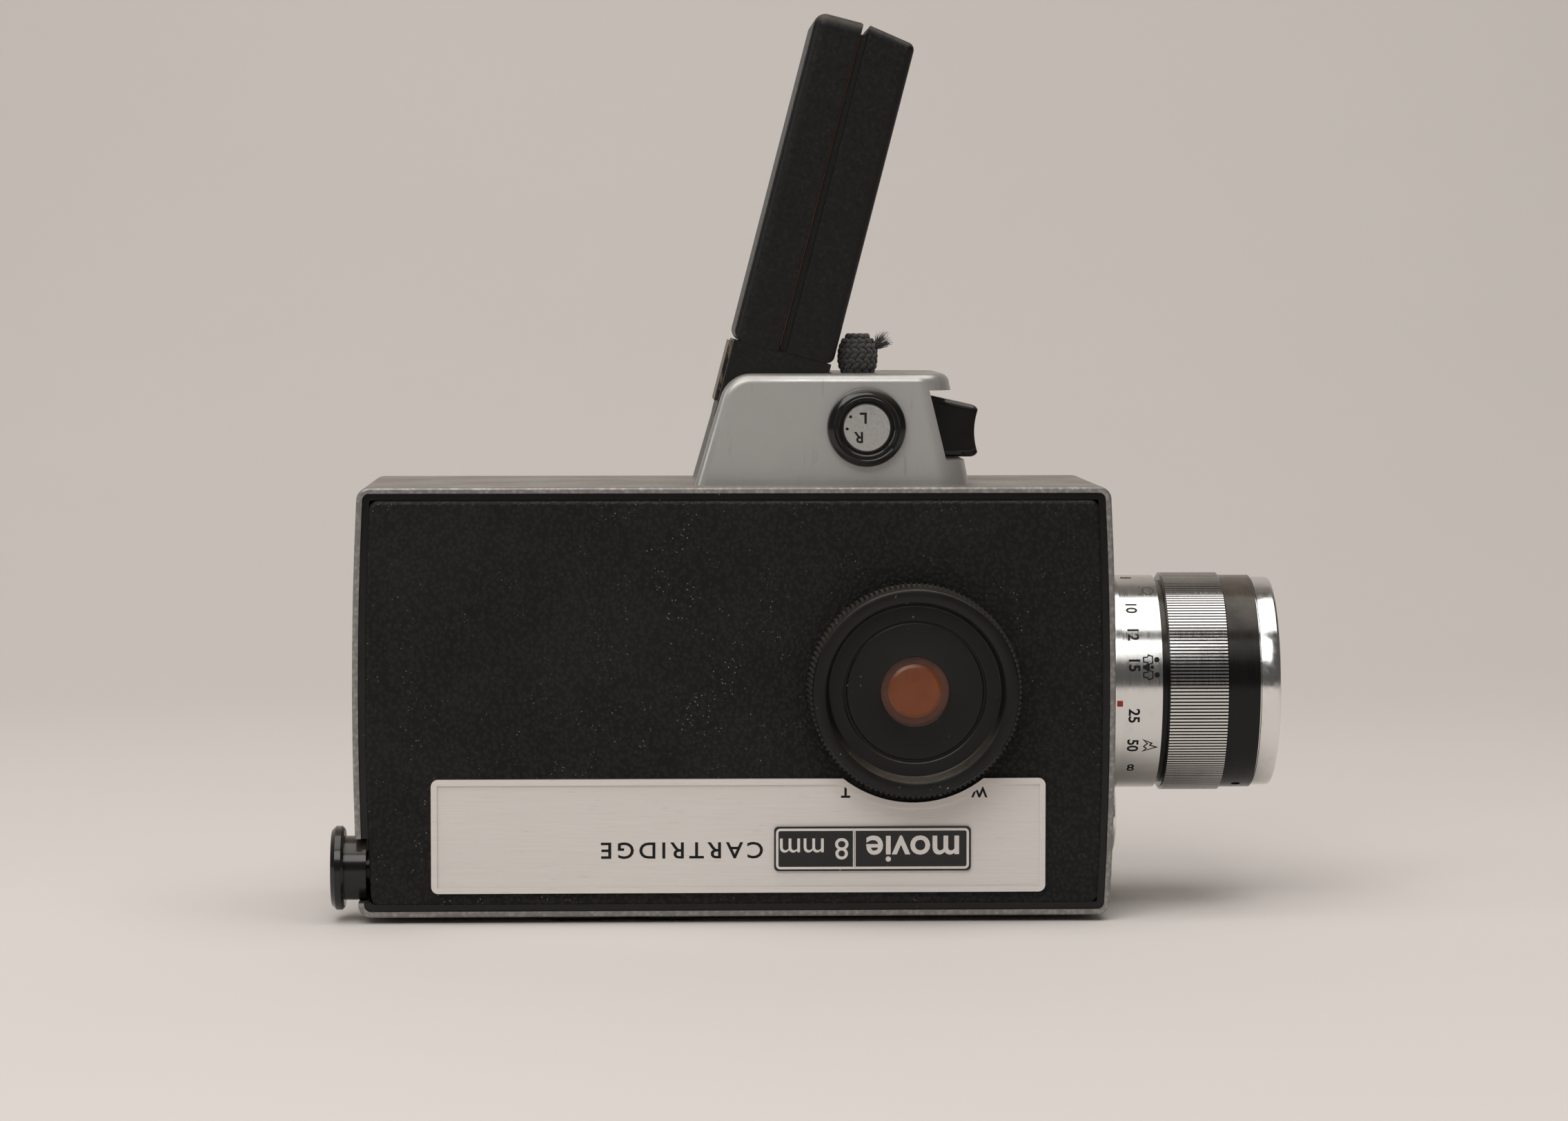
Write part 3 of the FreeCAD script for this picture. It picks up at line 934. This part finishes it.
def make_grip():
    half_depth = "grip_depth / 2"
    half_width = "grip_width / 2"
    inner_y = (f"grip_wall - {half_width}", f"{half_width} - grip_wall")
    recess_y = (f"split_recess - {half_width}", f"{half_width} - split_recess")
    core = grip_box("CoreBlank", ("split_rear", "split_front"), recess_y, ("grip_start", "grip_reach - core_short"))
    window = grip_box("CoreWindow", ("split_rear - 1", "split_front + 1"), inner_y,
                      ("grip_start + grip_wall", "grip_reach - core_short - grip_wall"))
    sub_part("grip_core", lean(cut("GripCore", core, window)))

    rear = grip_box("RearBlank", (f"-({half_depth})", "split_rear"), (f"-{half_width}", half_width),
                    ("grip_start", "grip_reach"))
    back = lying_in(X_AXIS, f"-({half_depth})")
    tip = lying_in(Z_AXIS, "grip_reach")
    rear_soft = rounded("RearSoft", rear, "grip_edge",
                        lambda edge: back(edge) or (tip(edge) and straight_along(X_AXIS)(edge)))
    rear_hollow = grip_box("RearHollow", (f"grip_wall - {half_depth}", "split_rear + 1"), inner_y,
                           ("grip_start + grip_wall", "grip_reach - grip_wall"))
    sub_part("grip_rear_shell", lean(cut("GripRearShell", rear_soft, rear_hollow)))

    gap = "panel_gap"
    front = grip_box("CoverBlankGrip", (f"split_front + {gap}", half_depth), (f"-{half_width}", half_width),
                     (f"grip_start + {gap}", "grip_reach"))
    slope = box("TipSlope", ("0", "20"), ("-grip_width", "grip_width"), ("0", "20"), own_frame=True)
    slope.Placement = FreeCAD.Placement(FreeCAD.Vector(), FreeCAD.Rotation(Y_AXIS, value("tip_slope")))
    bind(slope, "Placement.Base.z", "grip_reach")
    bind(slope, "Placement.Base.y", "-grip_width")
    sloped = cut("FrontSloped", front, slope)
    face = lying_in(X_AXIS, half_depth)
    split = lying_in(X_AXIS, f"split_front + {gap}")
    tip_low = value("grip_reach - cover_edge_front - grip_depth / 4")
    front_soft = rounded("FrontSoft", sloped, "cover_edge_front",
                         lambda edge: face(edge) or (edge.CenterOfMass.z > tip_low and not split(edge)
                                                     and not straight_along(Z_AXIS)(edge)))
    front_hollow = grip_box("FrontHollow", ("0", f"{half_depth} - grip_wall"), inner_y,
                            ("grip_start - 1", "grip_reach - grip_wall"))
    sub_part("battery_cover", lean(cut("BatteryCover", front_soft, front_hollow)))


def make_cells():
    cell_y = "(cell_radius + cell_gap / 2)"
    low = "(grip_reach - grip_wall - 2.4 - contact_thick - cell_length)"
    cells, contacts = [], []
    for side, sign in (("Left", "-"), ("Right", "")):
        y = f"{sign}{cell_y}"
        can = rod("Cell" + side, "z", "cell_radius", low, f"{low} + cell_length - 1", ("0", y), own_frame=True)
        cap = rod("CellCap" + side, "z", "2.7", f"{low} + cell_length - 1", f"{low} + cell_length", ("0", y),
                  own_frame=True)
        cells.append(fuse("BatteryCell" + side, can, cap))
        contact_y = (f"{y} - 5", f"{y} + 5")
        top = f"{low} + cell_length"
        contacts.append(grip_box("ContactTop" + side, ("-4", "4"), contact_y, (top, f"{top} + contact_thick")))
        contacts.append(grip_box("ContactLow" + side, ("-4", "4"), contact_y, (f"{low} - contact_thick", low)))
    sub_part("battery_cells", lean(fuse("BatteryCells", *cells)))
    sub_part("battery_contacts", lean(fuse("BatteryContacts", *contacts)))


# ---- build, check and write --------------------------------------------------------------

def check_and_write():
    doc.recompute()
    for item in doc.Objects:
        if "Invalid" in item.State or "Error" in item.State:
            raise RuntimeError(f"{item.Label} did not compute: {item.State}")
    os.makedirs("parts", exist_ok=True)
    for item in SUB_PARTS:
        if item.Shape.isNull() or not item.Shape.isValid() or not item.Shape.Solids:
            raise RuntimeError(f"{item.Label} has no valid solid")
    for item in SUB_PARTS:
        item.Shape.exportStep(os.path.join("parts", item.Label + ".step"))
    print(len(SUB_PARTS), "sub-parts written")


make_body_shell()
make_left_side()
make_light_socket()
make_zoom()
make_lens()
make_finder()
make_meter()
make_door()
make_mechanism()
make_housing()
make_end_plate()
make_trigger()
make_lock()
make_cord()
make_root()
make_grip()
make_cells()
check_and_write()
